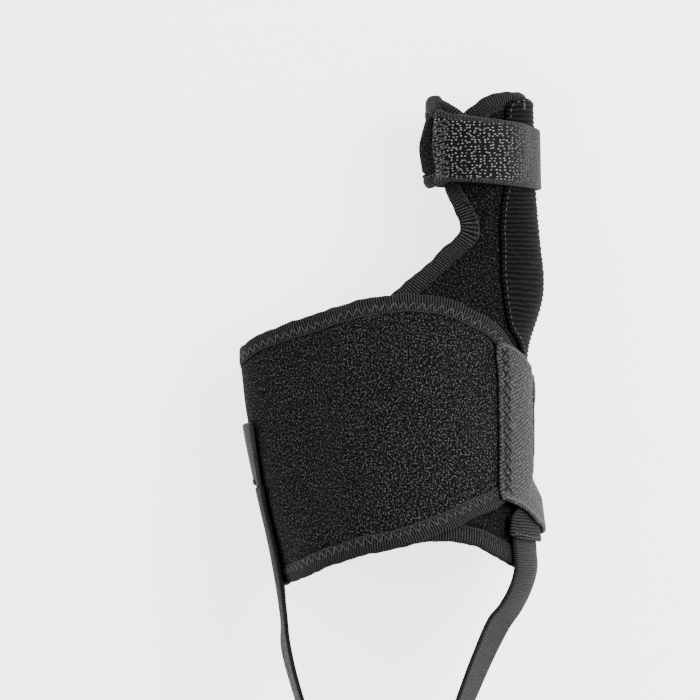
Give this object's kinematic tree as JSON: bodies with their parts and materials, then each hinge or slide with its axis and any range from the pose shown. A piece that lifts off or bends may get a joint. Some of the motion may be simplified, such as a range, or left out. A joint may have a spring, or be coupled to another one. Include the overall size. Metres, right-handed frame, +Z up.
{
  "type": "bunion corrector brace",
  "caption": "Soft toe-straightening brace for a left foot: wrap band over the instep, panel with ribbed splint pocket, strapped cuff round the big toe, elastic strap round the heel.",
  "frame": {"origin": "middle of the hollow for the foot, on the inside of the sole, under the instep band", "axes": "+X to the inner side of the left foot, +Y to the toes, +Z up from the sole"},
  "size_m": [0.0983, 0.224, 0.0756],
  "materials": {
    "black_laminate": "matt brushed loop knit over foam",
    "black_tape": "matt folded elastic binding with fine cross ribs",
    "black_rib_elastic": "matt ribbed elastic",
    "grey_hook": "woven nylon hook tape, slight sheen",
    "black_webbing": "fine cross-ribbed elastic webbing"
  },
  "bodies": {
    "root": {"toe_panel": "black_laminate", "panel_binding": "black_tape", "foot_wrap": "black_laminate", "wrap_binding": "black_tape", "splint_pocket": "black_rib_elastic", "toe_strap": "grey_hook", "wrap_tab": "grey_hook", "strap_patch": "black_webbing", "heel_strap": "black_webbing", "strap_hook": "grey_hook"}
  },
  "joints": []
}
